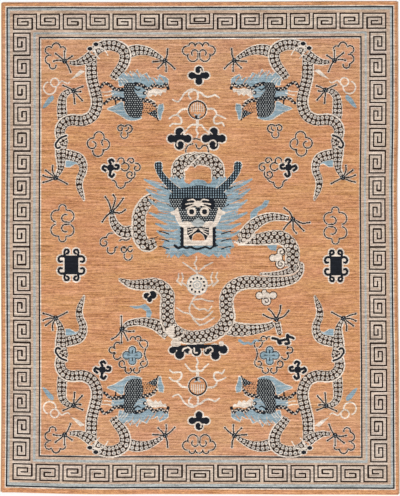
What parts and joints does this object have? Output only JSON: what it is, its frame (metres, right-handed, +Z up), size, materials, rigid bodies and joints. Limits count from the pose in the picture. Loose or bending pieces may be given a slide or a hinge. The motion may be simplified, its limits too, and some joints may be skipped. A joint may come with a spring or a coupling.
{
  "type": "hand-knotted wool carpet",
  "caption": "Flat oblong hand-knotted wool carpet with slightly uneven woven edges, overcast long sides and turned-under ends, to lie on a floor.",
  "frame": {"origin": "on the floor, under the middle of the carpet's box", "axes": "+X along the rows of knots, +Y along the warps, +Z up out of the pile"},
  "size_m": [2.3978, 2.965, 0.009],
  "materials": {
    "wool_pile": "matt short-cut wool pile with a woven ornament"
  },
  "bodies": {
    "root": {"carpet": "wool_pile"}
  },
  "joints": []
}
